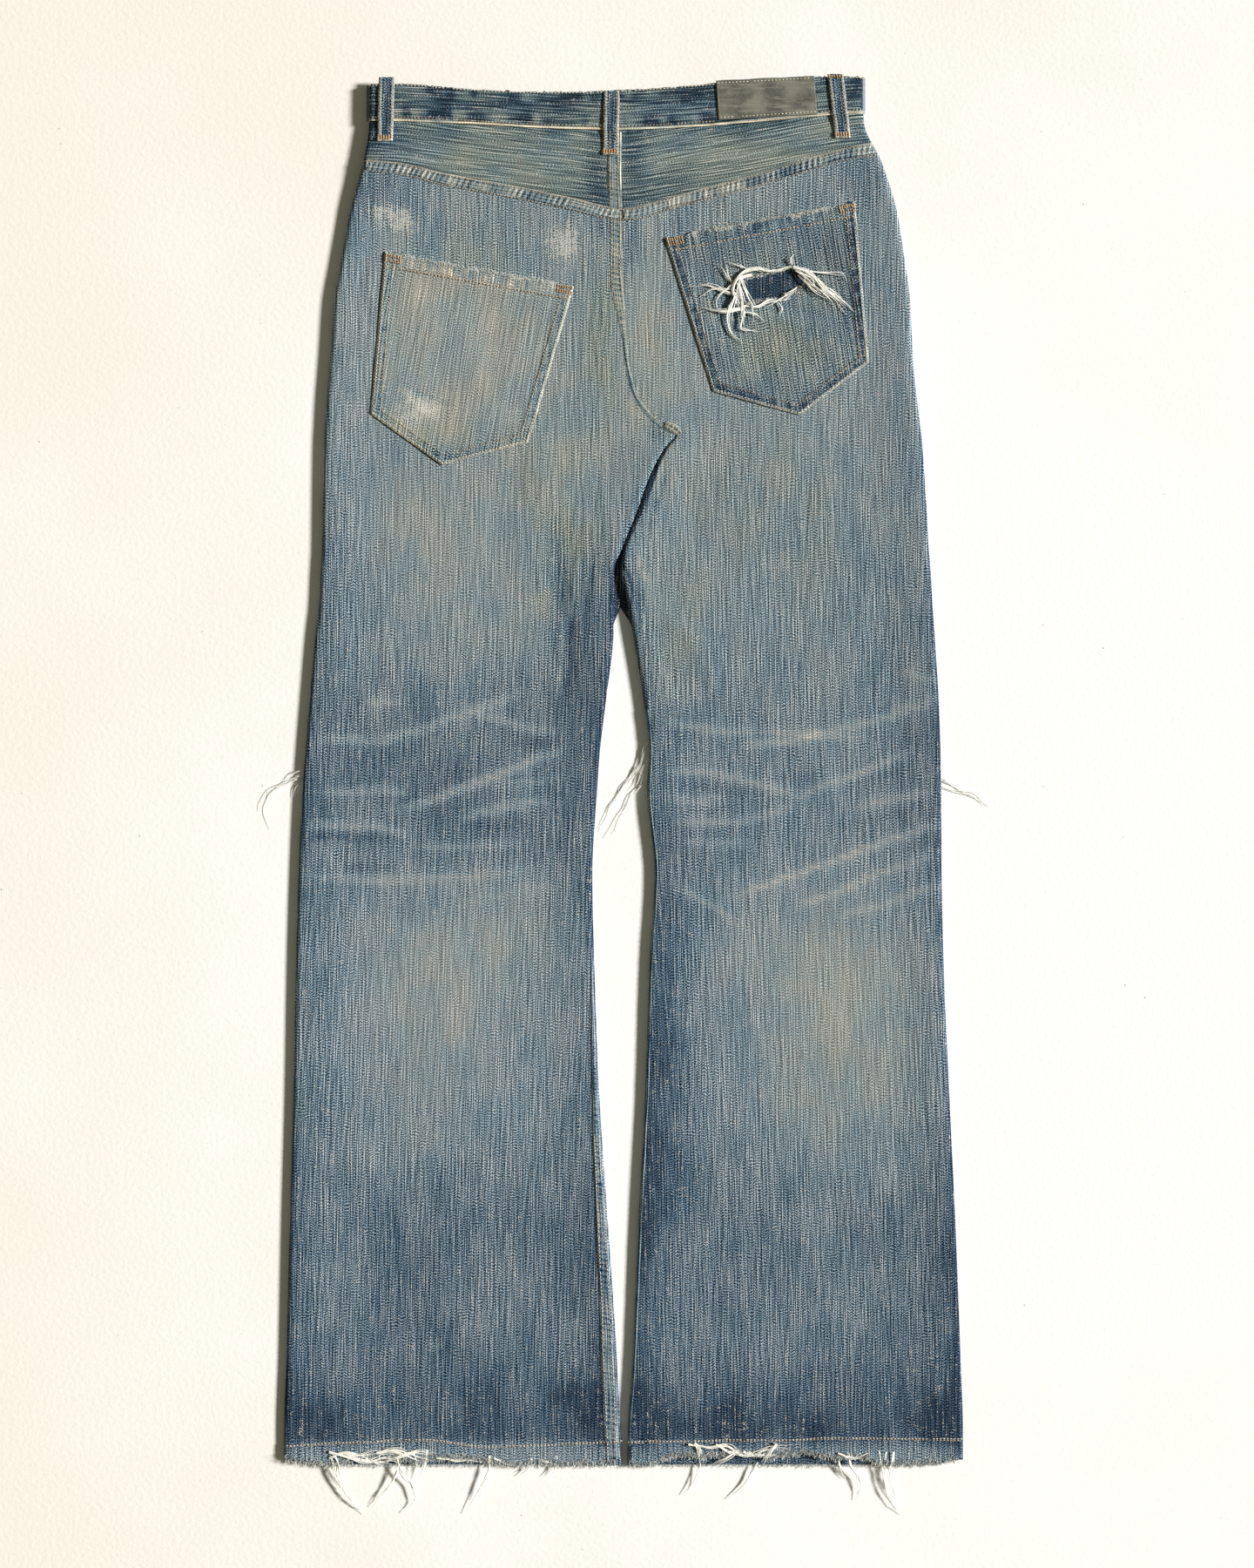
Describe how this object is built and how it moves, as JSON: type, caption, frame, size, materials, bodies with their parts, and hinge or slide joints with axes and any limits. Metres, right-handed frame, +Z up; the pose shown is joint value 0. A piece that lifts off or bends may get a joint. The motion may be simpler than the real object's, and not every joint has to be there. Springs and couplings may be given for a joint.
{
  "type": "ripped jeans",
  "caption": "Ripped bootcut jeans laid flat with the back up: worn denim legs, back yoke, patch pockets, waistband with belt loops and a bare suede patch, frayed hems, torn pocket and knees.",
  "frame": {"origin": "centre of the laid garment on the surface it rests on", "axes": "+Y towards the waist, +Z up out of the back of the garment, +X towards the wearer's right leg"},
  "size_m": [0.545, 1.114, 0.0135],
  "materials": {
    "denim": "washed and worn blue denim, paler where it has faded",
    "denim_seat": "worn grey-blue denim with the grain across",
    "denim_unworn": "dark indigo denim, unworn",
    "thread": "cotton thread, tan, cream and rust",
    "suede": "matt grey-green suede, scuffed",
    "button_metal": "aged copper-coloured metal"
  },
  "bodies": {
    "root": {"back_leg_left": "denim", "back_leg_right": "denim", "front_leg_left": "denim", "front_leg_right": "denim", "yoke_left": "denim_seat", "yoke_right": "denim_seat", "waistband": "denim_seat", "back_pocket_left": "denim", "back_pocket_right": "denim", "front_pocket_facing_left": "denim_unworn", "front_pocket_facing_right": "denim_unworn", "belt_loop_back_left": "denim_seat", "belt_loop_back_centre": "denim_seat", "belt_loop_back_right": "denim_seat", "belt_loop_front_left": "denim_seat", "belt_loop_front_right": "denim_seat", "waist_patch": "suede", "waist_button": "button_metal"}
  },
  "joints": []
}
